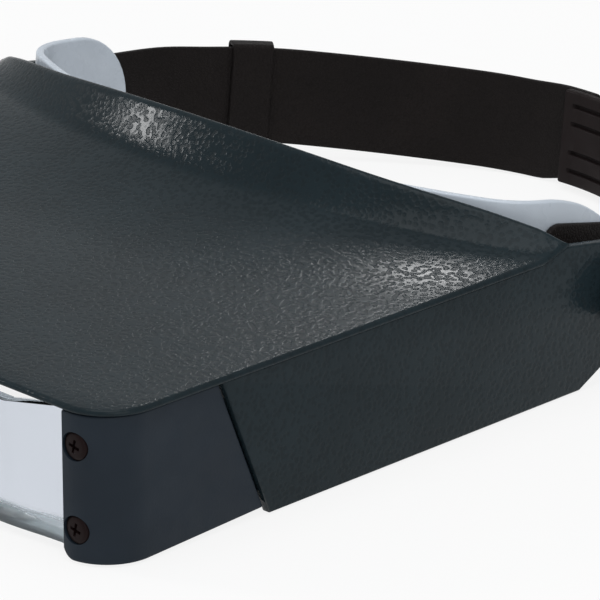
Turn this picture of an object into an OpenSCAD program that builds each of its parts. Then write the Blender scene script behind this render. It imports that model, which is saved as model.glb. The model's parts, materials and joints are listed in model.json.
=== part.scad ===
/* [Visor shell] */
// Width over the side walls, without the lip
visor_w = 189.2; // [170:0.2:210]
// From the tilt axis to the front edge of the top panel
visor_reach = 162.6; // [140:0.2:180]
// From the tilt axis forward to the rear corner of the top panel
corner_reach = 21; // [18:0.5:26]
// Thickness of the side walls
wall_t = 2.6; // [2:0.1:3.4]
// Thickness of the top panel
panel_t = 2.4; // [1.8:0.1:3]
// How far the panel's edge stands out over the walls
lip = 0.4; // [0.2:0.1:1]
// Height of the top panel at the front edge
front_h = 35.2; // [32:0.2:40]
// Height of the top panel at its sides where the rear upsweep starts
waist_h = 35.2; // [32:0.2:39]
// Height of the top panel at its rear corners
corner_h = 37.4; // [35:0.2:42]
// Height of the crease at the side walls
crease_side_h = 35.2; // [33:0.2:38]
// Height of the crease in the middle
crease_mid_h = 40.7; // [37:0.1:44]
// Height of the brow flange's edge in the middle
brow_h = 51.4; // [44:0.2:58]
// Depth of the forehead cut-out in the rear edge
brow_depth = 26; // [22:0.5:30]
// Length of the brow flange behind the crease
flange_run = 8; // [6:0.5:12]
// Length of the gentle upsweep in front of the crease
sweep_run = 42; // [25:1:60]
// Radius of the panel's front corners, seen from above
corner_r = 12.6; // [9:0.2:18]
// Radius of the ears round the tilt axis
ear_r = 11.5; // [9:0.5:13]
// Height of the tilt axis above the rim
pivot_h = 21; // [18:0.5:24]
// Radius of the boss inside each ear
boss_r = 8; // [6:0.5:9]

/* [Lens carrier] */
// From the rear corner forward to the parting line at the rim
parting_low = 94; // [80:1:105]
// How far the parting line leans forward towards the top
parting_lean = 14.4; // [0:0.2:20]
// Gap along the parting line
parting_gap = 0.6; // [0.4:0.1:1.2]
// Step from the side wall in to the carrier's face
carrier_step = 0.8; // [0.6:0.1:1.2]
// Height of the carrier's rim at the front
carrier_lift = 0.1; // [0:0.1:1]
// How far the carrier's rim rises towards the parting line
carrier_rise = 1.4; // [0:0.1:3]
// Width of each front post beside the window
post_w = 13; // [10:0.2:16]
// Thickness of the carrier's front wall
post_t = 2.8; // [2.2:0.1:3.6]
// Length of the guide tongues behind the parting line
tongue_l = 42; // [34:1:50]
// Height of the guide tongues
tongue_h = 22; // [14:1:24]
// Height of the tongues' lower edge
tongue_low = 4; // [3.5:0.1:5]
// Running gap round the carrier
slide_gap = 0.4; // [0.3:0.05:0.6]

/* [Lens] */
// Thickness of the clear plate
lens_t = 3; // [2:0.1:4]
// Height of the plate's lower edge
lens_low = 1.7; // [1:0.1:3]
// Height of the plate's upper edge in the middle
lens_high = 28.8; // [26:0.2:32]
// Height of the plate's end tabs
lens_tab_high = 32.2; // [28:0.1:32.3]
// Height of the thick bead along the lower edge
bead_h = 4.2; // [3:0.1:6]
// Thickness of the bead
bead_t = 4.6; // [3.5:0.1:6]
// Distance between the two optical centres
pupil_d = 64; // [58:1:72]
// Radius of the front surface of each magnifying zone
zone_r = 260; // [180:5:400]
// Width of each magnifying zone
zone_w = 60; // [40:1:62]

/* [Lens screws] */
// Radius of the screw heads
screw_head_r = 3.1; // [2.4:0.1:3.2]
// Height of the screw heads
screw_head_h = 1.5; // [1.2:0.1:1.8]
// Radius of the screw shanks
screw_r = 1.25; // [1:0.05:1.5]
// From the window's side to the screws' centres
screw_in = 3.5; // [3.4:0.1:4.2]
// Height of the lower screws
screw_low = 7.3; // [5:0.1:9]
// Height of the upper screws
screw_high = 26.1; // [20:0.1:26.6]
// Thickness of the clamp strips behind the lens
clamp_t = 2; // [1.5:0.1:3]

/* [Headband] */
// Width over the temple plates
band_w = 168; // [160:1:172]
// Thickness of the band
band_t = 2; // [1.5:0.1:2.6]
// Downward slope of the band towards the back
ring_tilt = 6.2; // [4:0.1:6.2]
// From the tilt axis forward to the middle of the forehead band
brow_reach = 48.5; // [44:0.5:48.5]
// Radius of the forehead band
brow_r = 160; // [150:5:200]
// Radius of the bends between the forehead and the temples
bend_r = 18; // [12:0.5:20]
// Upper edge of the forehead band above the tilt axis
band_top = 20; // [16:0.5:20.5]
// Lower edge of the forehead band, from the tilt axis
band_low = -4.5; // [-8:0.5:0]
// Radius of the temple plates
plate_r = 17; // [15:0.5:18]
// From the tilt axis forward to the centre of the temple plates
plate_y = 9; // [7:0.5:11]
// Thickness of the brow pad
pad_t = 6; // [4:0.5:8]
// Width of the brow pad
pad_w = 116; // [90:1:124]
// Height of the brow pad
pad_h = 21; // [16:0.5:23]

/* [Straps] */
// Width of the straps
strap_w = 24; // [18:0.5:25]
// Thickness of the straps
strap_t = 1.6; // [1.2:0.1:2]
// Height of the straps' middle above the tilt axis
strap_mid = 1.9; // [1.8:0.1:3]
// From the tilt axis forward to the straps' front ends
strap_front = 19.5; // [15:0.5:20]
// From the tilt axis back to where the straps start to curve
strap_straight = 11.5; // [10:0.5:16]
// Radius of the straps behind the temples
side_r = 58.7; // [50:0.1:64]
// Angle that the strap turns through behind the temples
side_a = 50; // [45:1:54]
// Radius of the nearly straight stretch
flat_r = 250; // [200:5:300]
// Angle at the end of the nearly straight stretch
flat_a = 60; // [57:0.5:63]
// Gap between two layers of strap
layer_gap = 0.3; // [0.2:0.05:0.5]
// Width of the strap's free end
tail_w = 22.4; // [16:0.2:24]
// Angle at which the free end of the strap stops
tail_a = 20; // [12:1:26]
// Width of the keeper loop along the strap
keeper_w = 11; // [7:0.5:13]
// Thickness of the keeper loop
keeper_t = 1; // [0.8:0.1:1.8]
// Angle of the keeper loop on the strap's side arc
keeper_a = 35; // [30:0.5:38]
// Radius of the rivet heads
rivet_head_r = 3; // [2.5:0.1:3.5]
// Radius of the rivet shanks
rivet_r = 1.5; // [1:0.1:1.8]

/* [Nape adjuster] */
// Angle from the middle to the wearer's right end
nape_right_a = 2.4; // [1:0.2:14]
// Angle from the middle to the wearer's left end
nape_left_a = 28; // [20:0.5:29]
// Thickness of the ribbed nape pad
nape_t = 2.6; // [2:0.1:3.4]
// How far the nape pad hangs below the strap
nape_drop = 0.7; // [0.5:0.1:0.8]
// Distance between the two middle grooves of the nape pad
groove_mid = 7.4; // [5:0.2:8]
// Distance between the two grooves of each pair
groove_pitch = 4.7; // [3:0.1:6]
// Height of each groove
groove_w = 1; // [0.8:0.1:2]
// Depth of each groove
groove_d = 1.1; // [0.6:0.1:1.4]
// Thickness of the adjuster's housing
housing_t = 2.2; // [1.6:0.1:3]

/* [Tilt joint] */
// Radius of the pivot bolts
bolt_r = 3; // [2.5:0.1:3.5]
// Radius of the bolt heads
bolt_head_r = 6.5; // [5:0.1:8]
// Height of the bolt heads
bolt_head_h = 1.8; // [1.2:0.1:2.4]
// Running clearance between the bolts and their bores
run_gap = 0.06; // [0.03:0.01:0.09]
// Thickness of the friction washers
washer_t = 1.6; // [1:0.1:2]
// Radius of the friction washers
washer_r = 7.5; // [6:0.1:8]
// Thickness of the spring washers
spring_t = 1.1; // [0.8:0.1:1.4]
// Radius of the knobs
knob_r = 8.5; // [7:0.1:9]
// Length of the knobs
knob_l = 8.6; // [7.6:0.1:11]
// Number of flutes round each knob
flute_n = 12; // [8:1:16]
// Radius of the brass inserts in the knobs
insert_r = 4.6; // [4.2:0.1:5]
// Gap between flat faces that turn past each other
face_gap = 0.3; // [0.2:0.05:0.4]

/* [Hidden] */
$fn = 64;
eps = 0.01;
arc_step = 2;

// Half widths, counted from the middle plane
wall_x = visor_w / 2;
wall_in = wall_x - wall_t;
lip_x = wall_x + lip;
carrier_x = wall_x - carrier_step;
band_x = band_w / 2;
strap_x = band_x + strap_t;
washer_x = strap_x + washer_t;
boss_x = washer_x + face_gap;
spring_x = wall_x + spring_t;
knob_x = spring_x + face_gap;
window_x = carrier_x - post_w;

// The strap's arcs: each centre is in the plane of the band, from the tilt axis
side_cx = strap_x - side_r;
side_cy = strap_straight;
flat_cx = side_cx - (flat_r - side_r) * cos(side_a);
flat_cy = side_cy - (flat_r - side_r) * sin(side_a);
nape_r = flat_r + flat_cx / cos(flat_a);
nape_cy = flat_cy + (flat_r - nape_r) * sin(flat_a);
strap_low = strap_mid - strap_w / 2;
strap_high = strap_mid + strap_w / 2;
tail_in = layer_gap;
tail_out = layer_gap + strap_t;
housing_in = tail_out + layer_gap;
housing_out = housing_in + housing_t;
liner_in = -strap_t - layer_gap;

// The whole length sets where the tilt axis lies, so that the origin is in the middle
back_reach = (nape_cy + nape_r + housing_out) * cos(ring_tilt) + strap_high * sin(ring_tilt);
pivot_y = (visor_reach - back_reach) / 2;
front_y = pivot_y - visor_reach;
corner_y = pivot_y - corner_reach;
carrier_y = front_y + lip;
parting_y = corner_y - parting_low;

// The rear edge of the top panel is one arc, seen from above
edge_r = (lip_x * lip_x + brow_depth * brow_depth) / (2 * brow_depth);
edge_cy = corner_y - brow_depth + edge_r;
function edge_y(x) = edge_cy - sqrt(edge_r * edge_r - x * x);
// 1 in the middle of the rear edge and 0 at its corners
function inward(x) = (corner_y - edge_y(x)) / brow_depth;
function crease_y(x) = edge_y(x) - flange_run;
function crease_h(x) = crease_side_h + (crease_mid_h - crease_side_h) * inward(x);
function edge_h(x) = corner_h + (brow_h - corner_h) * inward(x);
// Height of the top panel in front of the upsweep, and then up to the crease
waist_y = crease_y(lip_x) - sweep_run;
function slope_h(y) = front_h + (waist_h - front_h) * (y - front_y) / (waist_y - front_y);
function panel_h(x, y) =
  let (s = max(0, (y - crease_y(x) + sweep_run) / sweep_run))
  let (base = slope_h(min(y, crease_y(x) - sweep_run)))
  base + (crease_h(x) - base) * s * s;

// Ring-plane frame: origin on the tilt axis, sloping down to the back
module in_ring() translate([0, pivot_y, pivot_h]) rotate([-ring_tilt, 0, 0]) children();
module both_sides() { children(); mirror([1, 0, 0]) children(); }
// A bar along X from x0 to x1, round the tilt axis
module pivot_bar(x0, x1, r) translate([x0, pivot_y, pivot_h]) rotate([0, 90, 0]) cylinder(h = x1 - x0, r = r);
function reversed(list) = [for (i = [len(list) - 1:-1:0]) list[i]];
// A wall bent about the vertical line through (cx, cy), from angle a0 to a1
module bent_wall(cx, cy, r0, r1, a0, a1, z0, z1)
  translate([cx, cy, 0]) rotate([0, 0, a0])
    rotate_extrude(angle = a1 - a0, $fn = 180) translate([r0, z0]) square([r1 - r0, z1 - z0]);
// A plate whose outline is drawn in Y and Z, from x0 to x1
module side_plate(x0, x1) translate([x0, 0, 0]) rotate([90, 0, 90]) linear_extrude(x1 - x0) children();

// The top panel: a sheet whose upper face follows panel_h, then sweeps up to edge_h
panel_cols = 16;
sweep_rows = [0, 0.3, 0.55, 0.75, 0.9, 1];
flange_rows = [0.2, 0.45, 0.7, 1, 1.4];
flange_bend = 1.25;
panel_margin = 3;
panel_drop = 3.2;
function col_x(i) = (lip_x + 1) * (2 * i / panel_cols - 1);
function sweep_pt(x, s) =
  let (y = crease_y(x) - sweep_run * (1 - s))
  [x, y, panel_h(x, y)];
function flange_pt(x, u) =
  [x, crease_y(x) + flange_run * u, crease_h(x) + (edge_h(x) - crease_h(x)) * pow(u, flange_bend)];
function panel_col(x) = concat(
  [[x, front_y - panel_margin, front_h]],
  [for (s = sweep_rows) sweep_pt(x, s)],
  [for (u = flange_rows) flange_pt(x, u)]);
module panel_sheet() {
  rows = 1 + len(sweep_rows) + len(flange_rows);
  flat_rows = 1 + len(sweep_rows);
  upper = [for (i = [0:panel_cols]) each panel_col(col_x(i))];
  lower = [for (i = [0:panel_cols]) let (c = panel_col(col_x(i)))
    for (j = [0:rows - 1]) c[j] - [0, 0, j < flat_rows ? panel_t : panel_drop]];
  n = len(upper);
  quads = [for (i = [0:panel_cols - 1]) for (j = [0:rows - 2]) [i * rows + j, (i + 1) * rows + j,
    (i + 1) * rows + j + 1, i * rows + j + 1]];
  top_faces = [for (q = quads) each [[q[0], q[3], q[2]], [q[0], q[2], q[1]]]];
  low_faces = [for (q = quads) each [[q[0] + n, q[2] + n, q[3] + n], [q[0] + n, q[1] + n, q[2] + n]]];
  front = [for (i = [0:panel_cols - 1]) [i * rows, (i + 1) * rows, (i + 1) * rows + n, i * rows + n]];
  back = [for (i = [0:panel_cols - 1]) let (a = i * rows + rows - 1)
    [a, a + n, a + rows + n, a + rows]];
  first = [for (j = [0:rows - 2]) [j, j + n, j + 1 + n, j + 1]];
  last_col = panel_cols * rows;
  last = [for (j = [last_col:last_col + rows - 2]) [j, j + 1, j + 1 + n, j + n]];
  polyhedron(concat(upper, lower), concat(top_faces, low_faces, front, back, first, last), convexity = 6);
}
// Outline with two round front corners, open behind
module rounded_front(half_w, y0, y1, r) {
  translate([-half_w, y0 + r]) square([2 * half_w, y1 - y0 - r]);
  translate([-half_w + r, y0]) square([2 * half_w - 2 * r, r + eps]);
  for (sx = [-1, 1]) translate([sx * (half_w - r), y0 + r]) circle(r);
}
tall = 80;
module top_panel() difference() {
  intersection() {
    panel_sheet();
    linear_extrude(tall) rounded_front(lip_x, front_y, corner_y + panel_margin, corner_r);
  }
  translate([0, edge_cy, 0]) cylinder(h = tall, r = edge_r, $fn = 360);
  // The front edge over the lens is thinned from below
  translate([-window_x, front_y - 1, front_h - panel_t - 1]) cube([2 * window_x, 3, panel_t]);
}
// Side wall and ear, drawn in Y and Z
ear_rim = 5;
rim_reach = corner_reach - ear_rim;
rim_d = sqrt(rim_reach * rim_reach + pivot_h * pivot_h);
rim_a = atan2(pivot_h, rim_reach) - asin(ear_r / rim_d);
rim_l = sqrt(rim_d * rim_d - ear_r * ear_r);
wall_cover = 1.2;
// The ear's upper line runs from behind the corner down to the round of the ear
ear_step = 1.5;
// The line dips this far into the round, so that the two cross
ear_sink = 0.1;
ear_top = corner_h - wall_cover - 0.3;
top_reach = corner_reach - ear_step;
top_d = sqrt(top_reach * top_reach + (ear_top - pivot_h) * (ear_top - pivot_h));
top_a = asin((ear_r - ear_sink) / top_d) - atan2(ear_top - pivot_h, top_reach);
top_l = sqrt(top_d * top_d - ear_r * ear_r);
wall_steps = 12;
// The slanted parting line between the wall and the lens carrier
function parting_at(z) = parting_y - parting_lean * z / front_h;
wall_start = parting_at(front_h - wall_cover);
function wall_y(i) = wall_start + (corner_y - flange_run - wall_start) * i / wall_steps;
module wall_outline() {
  polygon(concat(
    [[parting_y, 0]],
    [for (i = [0:wall_steps]) [wall_y(i), panel_h(wall_x, wall_y(i)) - wall_cover]],
    [[corner_y - 0.5, corner_h - wall_cover],
     [corner_y + ear_step, ear_top],
     [corner_y + ear_step + top_l * cos(top_a), ear_top + top_l * sin(top_a)],
     [pivot_y, pivot_h],
     [corner_y + ear_rim + rim_l * cos(rim_a), rim_l * sin(rim_a)],
     [corner_y + ear_rim, 0]]));
  translate([pivot_y, pivot_h]) circle(ear_r);
}
rail_t = 2.2;
rail_in = 3.6;
rail_l = tongue_l + 6;
module rails() {
  for (z = [tongue_low - slide_gap - rail_t, tongue_low + tongue_h + slide_gap])
    translate([wall_in - rail_in, parting_y + 1, z]) cube([rail_in + eps, rail_l, rail_t]);
}
spring_boss = [2.6, 5, 10];
spring_leaf = 0.6;
tongue_in = wall_in - slide_gap - wall_t;
spring_end = parting_y + tongue_l + slide_gap + 8;
module visor_shell() color([0.2, 0.23, 0.25]) difference() {
  union() {
    top_panel();
    both_sides() {
      side_plate(wall_in, wall_x) wall_outline();
      pivot_bar(boss_x, wall_in + eps, boss_r);
      rails();
      // Block that carries the leaf spring
      translate([tongue_in - face_gap, spring_end - spring_boss[1], tongue_low + (tongue_h - spring_boss[2]) / 2])
        cube([wall_in + eps - tongue_in + face_gap, spring_boss[1], spring_boss[2]]);
    }
  }
  both_sides() pivot_bar(boss_x - 1, wall_x + 1, bolt_r + run_gap);
}
spring_w = 8;
spring_l = 30;
module carrier_springs() color([0.75, 0.76, 0.78]) both_sides()
  translate([tongue_in - face_gap - spring_leaf, spring_end - spring_l, tongue_low + (tongue_h - spring_w) / 2])
    cube([spring_leaf, spring_l, spring_w]);

// The lens carrier: posts, side arms, top bar and guide tongues
// The carrier passes under the panel's lowest point over it
carrier_top = slope_h(parting_at(front_h)) - panel_t - face_gap;
carrier_r = corner_r - lip - carrier_step + 0.4;
arm_t = wall_t;
bar_t = 2.2;
bar_l = 24;
foot_r = 3;
tongue_root = 24;
module carrier_outline() polygon([
  [carrier_y - 1, carrier_lift],
  [carrier_y + 2 * carrier_r, carrier_lift],
  [parting_at(carrier_lift + carrier_rise) - parting_gap, carrier_lift + carrier_rise],
  [parting_at(carrier_top) - parting_gap, carrier_top],
  [carrier_y - 1, carrier_top]]);
module carrier_plan() difference() {
  rounded_front(carrier_x, carrier_y, parting_y, carrier_r);
  rounded_front(carrier_x - arm_t, carrier_y + post_t, parting_y + 1, carrier_r - arm_t);
  translate([-window_x, carrier_y - 1]) square([2 * window_x, post_t + 2]);
}
lens_y = carrier_y + post_t;
clamp_y = lens_y + lens_t;
screw_x = window_x + screw_in;
tab_edge = 2.2;
tab_gap = 0.2;
screw_clear = 0.1;
module screw_axes() both_sides() for (z = [screw_low, screw_high])
  translate([screw_x, carrier_y, z]) rotate([-90, 0, 0]) children();
module lens_carrier() color([0.18, 0.21, 0.25]) difference() {
  union() {
    intersection() {
      linear_extrude(carrier_top) carrier_plan();
      side_plate(-wall_x, wall_x) carrier_outline();
    }
    // Top bar under the panel
    translate([arm_t / 2 - carrier_x, lens_y + lens_t + clamp_t + face_gap, carrier_top - bar_t])
      cube([2 * carrier_x - arm_t, bar_l, bar_t]);
    both_sides()
      translate([tongue_in, parting_y - tongue_root, tongue_low])
        cube([wall_t, tongue_root + tongue_l, tongue_h]);
  }
  screw_axes() {
    translate([0, 0, -1]) cylinder(h = screw_head_h + 1.2, r = screw_head_r + screw_clear);
    cylinder(h = post_t + 1, r = screw_r + screw_clear);
  }
  // Pocket for the lens and its clamp strips
  translate([-tab_x - tab_gap, lens_y, lens_low - tab_gap])
    cube([2 * (tab_x + tab_gap), lens_t + clamp_t, tall]);
  // The posts' inner lower corners are round
  both_sides() translate([window_x, carrier_y - 1, carrier_lift]) difference() {
    translate([-1, 0, -1]) cube([foot_r + 1, post_t + 2, foot_r + 1]);
    translate([foot_r, -1, foot_r]) rotate([-90, 0, 0]) cylinder(h = post_t + 4, r = foot_r);
  }
}
tab_x = screw_x + tab_edge;
ramp_x0 = window_x - 21;
ramp_x1 = window_x - 5;
module lens_outline() polygon([
  [-tab_x, lens_low], [tab_x, lens_low], [tab_x, lens_tab_high], [ramp_x1, lens_tab_high],
  [ramp_x0, lens_high], [-ramp_x0, lens_high], [-ramp_x1, lens_tab_high], [-tab_x, lens_tab_high]]);
zone_rise = zone_w * zone_w / (8 * zone_r);
zone_sink = 0.5;
// A spherical cap that stands zone_rise above the plate's face
module zone_cap() rotate_extrude($fn = 180) intersection() {
  translate([0, zone_rise - zone_r]) circle(zone_r, $fn = 1440);
  translate([0, -zone_sink]) square([zone_w, 2 * zone_rise + zone_sink]);
}
module lens_plate() color([0.8, 0.85, 0.9, 0.4]) difference() {
  union() {
    translate([0, lens_y + lens_t, 0]) rotate([90, 0, 0]) linear_extrude(lens_t) lens_outline();
    translate([-window_x + 0.4, lens_y + lens_t - bead_t + 0.8, lens_low]) cube([2 * window_x - 0.8, bead_t, bead_h]);
    both_sides() intersection() {
      translate([pupil_d / 2, lens_y, (lens_low + lens_high) / 2]) rotate([90, 0, 0]) zone_cap();
      translate([0, lens_y - zone_rise - 1, lens_low + bead_h - zone_sink])
        cube([pupil_d / 2 + zone_w, zone_rise + 2, lens_high - lens_low - bead_h]);
    }
  }
  screw_axes() cylinder(h = post_t + lens_t + 1, r = screw_r + screw_clear);
}
slot_l = 3.4;
slot_w = 0.7;
slot_d = 0.8;
screw_l = post_t + lens_t + clamp_t - 0.2;
module lens_screws() color([0.12, 0.12, 0.12]) screw_axes() translate([0, 0, 0.2]) difference() {
  union() {
    cylinder(h = screw_head_h, r = screw_head_r);
    cylinder(h = screw_l, r = screw_r);
  }
  for (a = [0, 90]) rotate([0, 0, a]) translate([-slot_l / 2, -slot_w / 2, -1]) cube([slot_l, slot_w, slot_d + 1]);
}
clamp_w = screw_in + tab_edge;
module lens_clamp_strips() color([0.3, 0.3, 0.3]) difference() {
  both_sides() translate([window_x, clamp_y, lens_low]) cube([clamp_w, clamp_t, lens_tab_high - lens_low]);
  screw_axes() cylinder(h = post_t + lens_t + clamp_t + 1, r = screw_r + eps * 2);
}

// The forehead band, in the ring frame
band_cx = band_x - bend_r;
brow_half_a = asin(band_cx / (brow_r - bend_r));
band_cy = -brow_reach + brow_r - (brow_r - bend_r) * cos(brow_half_a);
band_bottom = -plate_r;
plate_back = plate_r;
// A point of the band, seen from above: inset from its outer face, at an angle from the front
function band_pt(inset, a) = a < brow_half_a
  ? [(brow_r - inset) * sin(a), brow_r - brow_reach - (brow_r - inset) * cos(a)]
  : [band_cx + (bend_r - inset) * sin(a), band_cy - (bend_r - inset) * cos(a)];
function band_path(inset) = [for (a = [0:arc_step:90]) band_pt(inset, a)];
module band_walls() both_sides() translate([0, 0, band_bottom]) linear_extrude(band_top + 1 - band_bottom)
  polygon(concat(
    [[-1, -brow_reach]], band_path(0), [[band_x, plate_back], [band_x - band_t, plate_back]],
    reversed(band_path(band_t)), [[-1, band_t - brow_reach]]));
module band_outline() {
  translate([-plate_y, band_top - plate_r]) circle(plate_r);
  translate([-brow_reach - 1, band_low]) square([brow_reach + 1 - plate_y, band_top - band_low]);
}
rivet_spots = [[-12, 4], [-12, -6]];
module rivet_axes(x) both_sides() for (p = rivet_spots) translate([x, p[0], p[1]]) rotate([0, 90, 0]) children();
module ring_bar(x0, x1, r) both_sides() translate([x0, 0, 0]) rotate([0, 90, 0]) cylinder(h = x1 - x0, r = r);
module forehead_band() color([0.74, 0.79, 0.83]) in_ring() difference() {
  intersection() {
    band_walls();
    side_plate(-band_x - 1, band_x + 1) band_outline();
  }
  ring_bar(band_x - band_t - 1, band_x + 1, bolt_r + 0.1);
  rivet_axes(band_x - band_t - 1) cylinder(h = band_t + 2, r = rivet_r + 0.05);
}
// The brow pad: crowned sections along the band's inner face, drawn in at both ends
pad_gap = 0.2;
pad_mid = (band_top + band_low) / 2;
pad_rings = 30;
pad_sides = 12;
pad_end = 0.3;
pad_flat = (pad_w - pad_h) / 2;
pad_back_r = brow_r - band_t - pad_gap;
function pad_x(i) = (pad_w / 2 - pad_end) * sin(180 * i / pad_rings - 90);
// 1 along the pad, falling off round its ends
function pad_full(x) = sqrt(1 - pow(max(0, abs(x) - pad_flat) / (pad_h / 2), 2));
function pad_pt(x, t) =
  let (a = asin(x / pad_back_r))
  let (deep = pad_back_r - pad_t * sqrt(pad_full(x)) * pow(sin(t), 0.55))
  [deep * sin(a), brow_r - brow_reach - deep * cos(a), pad_h / 2 * pad_full(x) * cos(t)];
function ring_faces(rings, n) = [for (i = [0:rings - 1]) for (j = [0:n]) let (a = i * (n + 1), k = (j + 1) % (n + 1))
  each [[a + j, a + n + 1 + j, a + n + 1 + k], [a + j, a + n + 1 + k, a + k]]];
module brow_pad() color([0.16, 0.16, 0.17]) in_ring() translate([0, 0, pad_mid]) polyhedron(
  [for (i = [0:pad_rings]) for (j = [0:pad_sides]) pad_pt(pad_x(i), 180 * j / pad_sides)],
  concat(
    ring_faces(pad_rings, pad_sides),
    [[for (j = [0:pad_sides]) j]],
    [[for (j = [pad_sides:-1:0]) pad_rings * (pad_sides + 1) + j]]),
  convexity = 4);

// Straps: each layer is given by its offsets from the inner layer's outer face
module nape_wall(o0, o1, a0, a1, z0, z1) bent_wall(0, nape_cy, nape_r + o0, nape_r + o1, a0, a1, z0, z1);
// A point of the ring, seen from above: o out from the inner layer's outer face, at an angle from the left
function left_pt(o, a) =
  a < side_a ? [side_cx + (side_r + o) * cos(a), side_cy + (side_r + o) * sin(a)]
  : a < flat_a ? [flat_cx + (flat_r + o) * cos(a), flat_cy + (flat_r + o) * sin(a)]
  : [(nape_r + o) * cos(a), nape_cy + (nape_r + o) * sin(a)];
function ring_pt(o, a) = a > 90 ? [-left_pt(o, 180 - a)[0], left_pt(o, 180 - a)[1]] : left_pt(o, a);
function ring_path(o, a0, a1) =
  let (n = ceil((a1 - a0) / arc_step))
  concat(a0 == 0 ? [[strap_x + o, -strap_front]] : [], [for (i = [0:n]) ring_pt(o, a0 + (a1 - a0) * i / n)]);
module upright(w) translate([0, 0, strap_mid - w / 2]) linear_extrude(w) children();
// One layer of strap between two offsets and two angles
module layer(o0, o1, a0, a1) upright(strap_w) polygon(concat(ring_path(o0, a0, a1), reversed(ring_path(o1, a0, a1))));
strap_end_r = 5;
// Cuts that round the front end, on the wearer's left
module strap_corners() side_plate(band_x - 1, strap_x + 1) for (sz = [0, 1])
  translate([-strap_front, sz ? strap_high : strap_low]) mirror([0, sz]) difference() {
    translate([-1, -1]) square(strap_end_r + 1);
    translate([strap_end_r, strap_end_r]) circle(strap_end_r);
  }
// The inner layer from the front end to an angle past the temple
module strap_run(end_a) difference() {
  layer(-strap_t, 0, 0, end_a);
  strap_corners();
}
module strap_holes() {
  ring_bar(band_x - 1, strap_x + 1, bolt_r + 0.2);
  rivet_axes(band_x - 1) cylinder(h = strap_t + 2, r = rivet_r + 0.05);
}
step_a = 77;
step_w = 4;
right_end_a = 96;
// The free end steps outward and lies outside the other strap
module free_end() upright(tail_w) polygon(concat(
  ring_path(tail_out, step_a, 180 - tail_a),
  reversed(ring_path(tail_in, step_a + step_w, 180 - tail_a)),
  [ring_pt(-strap_t / 2, step_a + step_w), ring_pt(-strap_t / 2, step_a)]));
module strap_left() color([0.13, 0.11, 0.11]) in_ring() difference() {
  union() {
    strap_run(step_a + 3 / 4 * step_w);
    free_end();
  }
  strap_holes();
}
module strap_right() color([0.13, 0.11, 0.11]) in_ring() difference() {
  mirror([1, 0, 0]) strap_run(right_end_a);
  strap_holes();
  adjuster_holes();
}
rivet_head_h = 0.9;
module strap_rivets() color([0.7, 0.71, 0.73]) in_ring() {
  rivet_axes(band_x - band_t) cylinder(h = band_t + strap_t, r = rivet_r);
  rivet_axes(strap_x) cylinder(h = rivet_head_h, r = rivet_head_r);
  rivet_axes(band_x - band_t - rivet_head_h) cylinder(h = rivet_head_h, r = rivet_head_r);
}
keeper_span = keeper_w / side_r * 180 / PI;
module keeper_section(grow) translate([side_r + liner_in - grow, strap_low - layer_gap - grow])
  square([housing_in - liner_in + 2 * grow, strap_w + 2 * layer_gap + 2 * grow]);
module strap_keeper() color([0.14, 0.11, 0.1]) in_ring() mirror([1, 0, 0])
  translate([side_cx, side_cy, 0]) rotate([0, 0, keeper_a - keeper_span / 2])
    rotate_extrude(angle = keeper_span, $fn = 180) difference() {
      keeper_section(keeper_t);
      keeper_section(0);
    }

// The nape adjuster: a housing outside the strap and a ribbed pad inside it
nape_a0 = 90 - nape_left_a;
nape_a1 = 90 + nape_right_a;
nape_low = strap_low - nape_drop;
lip_gap = 0.1;
// The rivets join the pad to the right strap only, just inside the pad's end
rivet_side = 6;
rivet_back_a = 4;
module adjuster_axes() translate([0, nape_cy, 0]) for (z = [-rivet_side, rivet_side])
  rotate([0, 0, nape_a1 - rivet_back_a]) translate([nape_r, 0, strap_mid + z]) rotate([0, 90, 0]) children();
module adjuster_holes() adjuster_axes() translate([0, 0, pad_inner - 1])
  cylinder(h = 1 - pad_inner + layer_gap / 2, r = rivet_r + 0.05);
module adjuster_housing() color([0.15, 0.12, 0.12]) in_ring()
  nape_wall(housing_in, housing_out, nape_a0, nape_a1, nape_low, strap_high);
pad_inner = liner_in - nape_t;
groove_end = 3.5;
nape_mid = (strap_high + nape_low) / 2;
groove_half = groove_mid / 2;
groove_rows = [-groove_half - groove_pitch, -groove_half, groove_half, groove_half + groove_pitch];
module nape_pad() color([0.14, 0.1, 0.1]) in_ring() difference() {
  union() {
    nape_wall(pad_inner, liner_in, nape_a0, nape_a1, nape_low, strap_high);
    // Lip that closes the housing from below
    nape_wall(liner_in - nape_t / 2, housing_in, nape_a0, nape_a1, nape_low, strap_low - lip_gap);
  }
  for (z = groove_rows)
    nape_wall(pad_inner - 1, pad_inner + groove_d, nape_a0 + groove_end, nape_a1 - groove_end,
      nape_mid + z - groove_w / 2, nape_mid + z + groove_w / 2);
  adjuster_holes();
}
module adjuster_rivets() color([0.2, 0.18, 0.18]) in_ring() adjuster_axes()
  translate([0, 0, pad_inner + groove_d + 0.2]) cylinder(h = -pad_inner - groove_d - 0.2, r = rivet_r);

// The tilt joint at each ear
bolt_end = knob_x + knob_l - 1.8;
module pivot_bolts() color([0.72, 0.73, 0.75]) both_sides() {
  pivot_bar(band_x - band_t - eps, bolt_end, bolt_r);
  intersection() {
    pivot_bar(band_x - band_t - bolt_head_h, band_x - band_t, bolt_head_r);
    translate([band_x - band_t - bolt_head_h + 2 * bolt_head_r, pivot_y, pivot_h]) sphere(r = 2 * bolt_head_r, $fn = 96);
  }
}
module friction_washers() color([0.85, 0.84, 0.8]) difference() {
  both_sides() pivot_bar(strap_x, washer_x, washer_r);
  both_sides() pivot_bar(strap_x - 1, washer_x + 1, bolt_r + 0.1);
}
module spring_washers() color([0.7, 0.71, 0.72]) difference() {
  both_sides() pivot_bar(wall_x, spring_x, knob_r - 2);
  both_sides() pivot_bar(wall_x - 1, spring_x + 1, bolt_r + 0.3);
}
insert_l = knob_l - 1.6;
flute_r = 1.1;
knob_edge = 1.2;
knob_crown = 0.6;
insert_fit = 0.02;
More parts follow.
